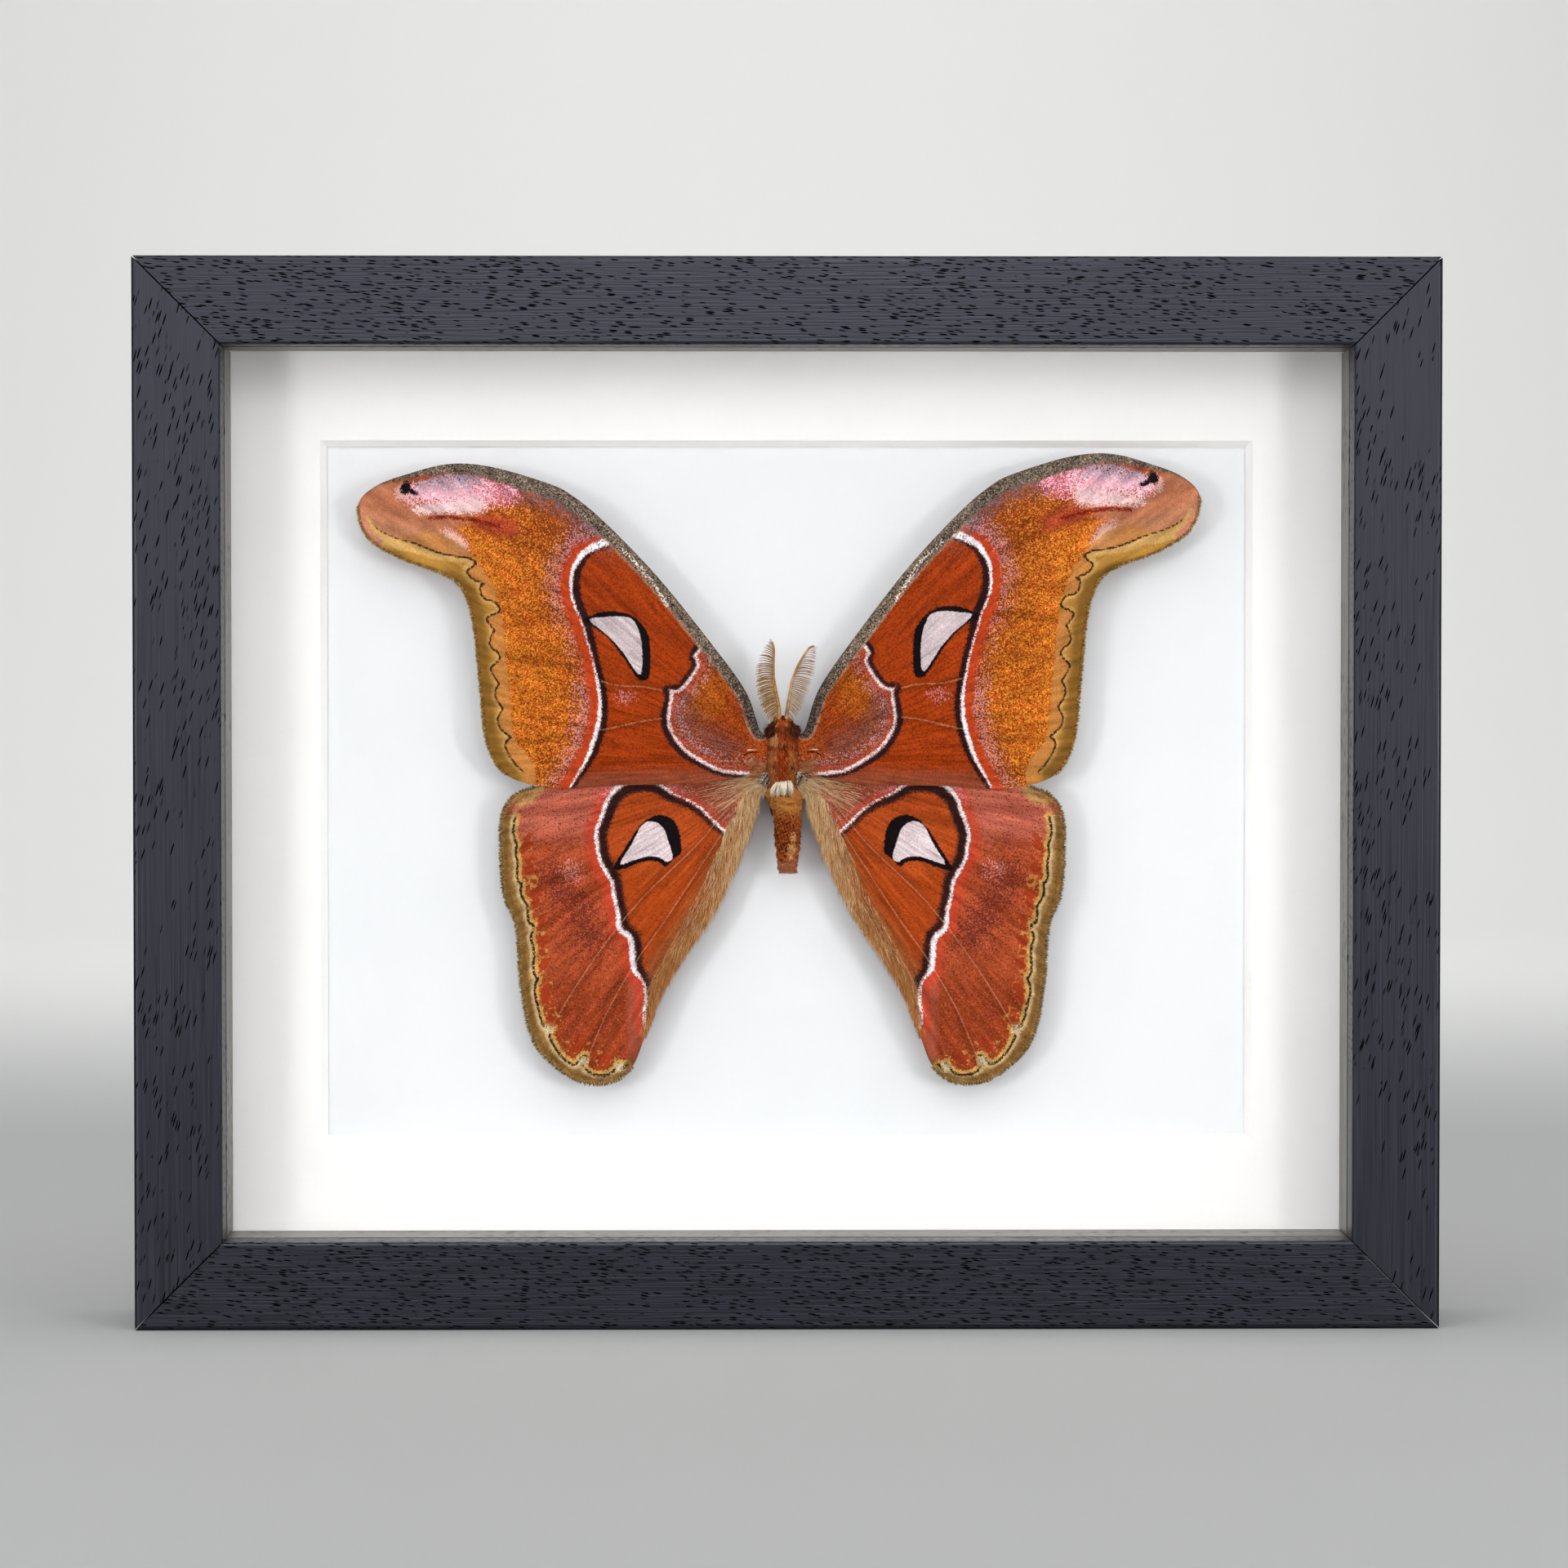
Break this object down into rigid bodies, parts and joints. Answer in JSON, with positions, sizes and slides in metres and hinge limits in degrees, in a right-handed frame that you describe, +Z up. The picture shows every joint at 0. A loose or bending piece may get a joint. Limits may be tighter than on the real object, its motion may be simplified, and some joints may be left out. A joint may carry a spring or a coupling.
{
  "type": "framed atlas silkmoth",
  "caption": "Spread male atlas silkmoth mounted behind glass in a black wooden box frame with a white window mat, for a shelf or table.",
  "frame": {"origin": "centre of the frame's footprint, on the surface that the frame stands on", "axes": "+Z up, +X to the right along the frame's width, +Y away from the viewer, so the glass faces -Y"},
  "size_m": [0.2836, 0.034, 0.2328],
  "materials": {
    "frame_wood": "black stained open grain wood, satin",
    "glass": "clear picture glass",
    "spacer_wood": "grey brown stained strip",
    "mat_board": "white mount board, matt",
    "backdrop": "white backing paper, matt",
    "fibreboard": "brown pressed fibreboard",
    "steel": "zinc plated",
    "cork": "pale cork block",
    "body_hair": "rust red hair",
    "abdomen_hair": "orange brown hair",
    "eye": "dark, glossy",
    "antenna": "tan chitin, satin",
    "forewing": "orange and rust wing scales",
    "hindwing": "rust and pink wing scales",
    "leg": "brown haired chitin"
  },
  "bodies": {
    "root": {"rail_top": "frame_wood", "rail_bottom": "frame_wood", "rail_left": "frame_wood", "rail_right": "frame_wood", "glazing": "glass", "spacer_top": "spacer_wood", "spacer_bottom": "spacer_wood", "spacer_left": "spacer_wood", "spacer_right": "spacer_wood", "window_mat": "mat_board", "backdrop_board": "backdrop", "back_panel": "fibreboard", "point_tab_01": "steel", "point_tab_02": "steel", "point_tab_03": "steel", "point_tab_04": "steel", "point_tab_05": "steel", "point_tab_06": "steel", "point_tab_07": "steel", "point_tab_08": "steel", "point_tab_09": "steel", "point_tab_10": "steel", "hanger_plate": "steel", "specimen_support": "cork", "head": "body_hair", "thorax": "body_hair", "abdomen": "abdomen_hair", "eye_left": "eye", "eye_right": "eye", "antenna_left": "antenna", "antenna_right": "antenna", "forewing_left": "forewing", "forewing_right": "forewing", "hindwing_left": "hindwing", "hindwing_right": "hindwing", "leg_front_left": "leg", "leg_front_right": "leg", "leg_middle_left": "leg", "leg_middle_right": "leg", "leg_hind_left": "leg", "leg_hind_right": "leg"}
  },
  "joints": []
}
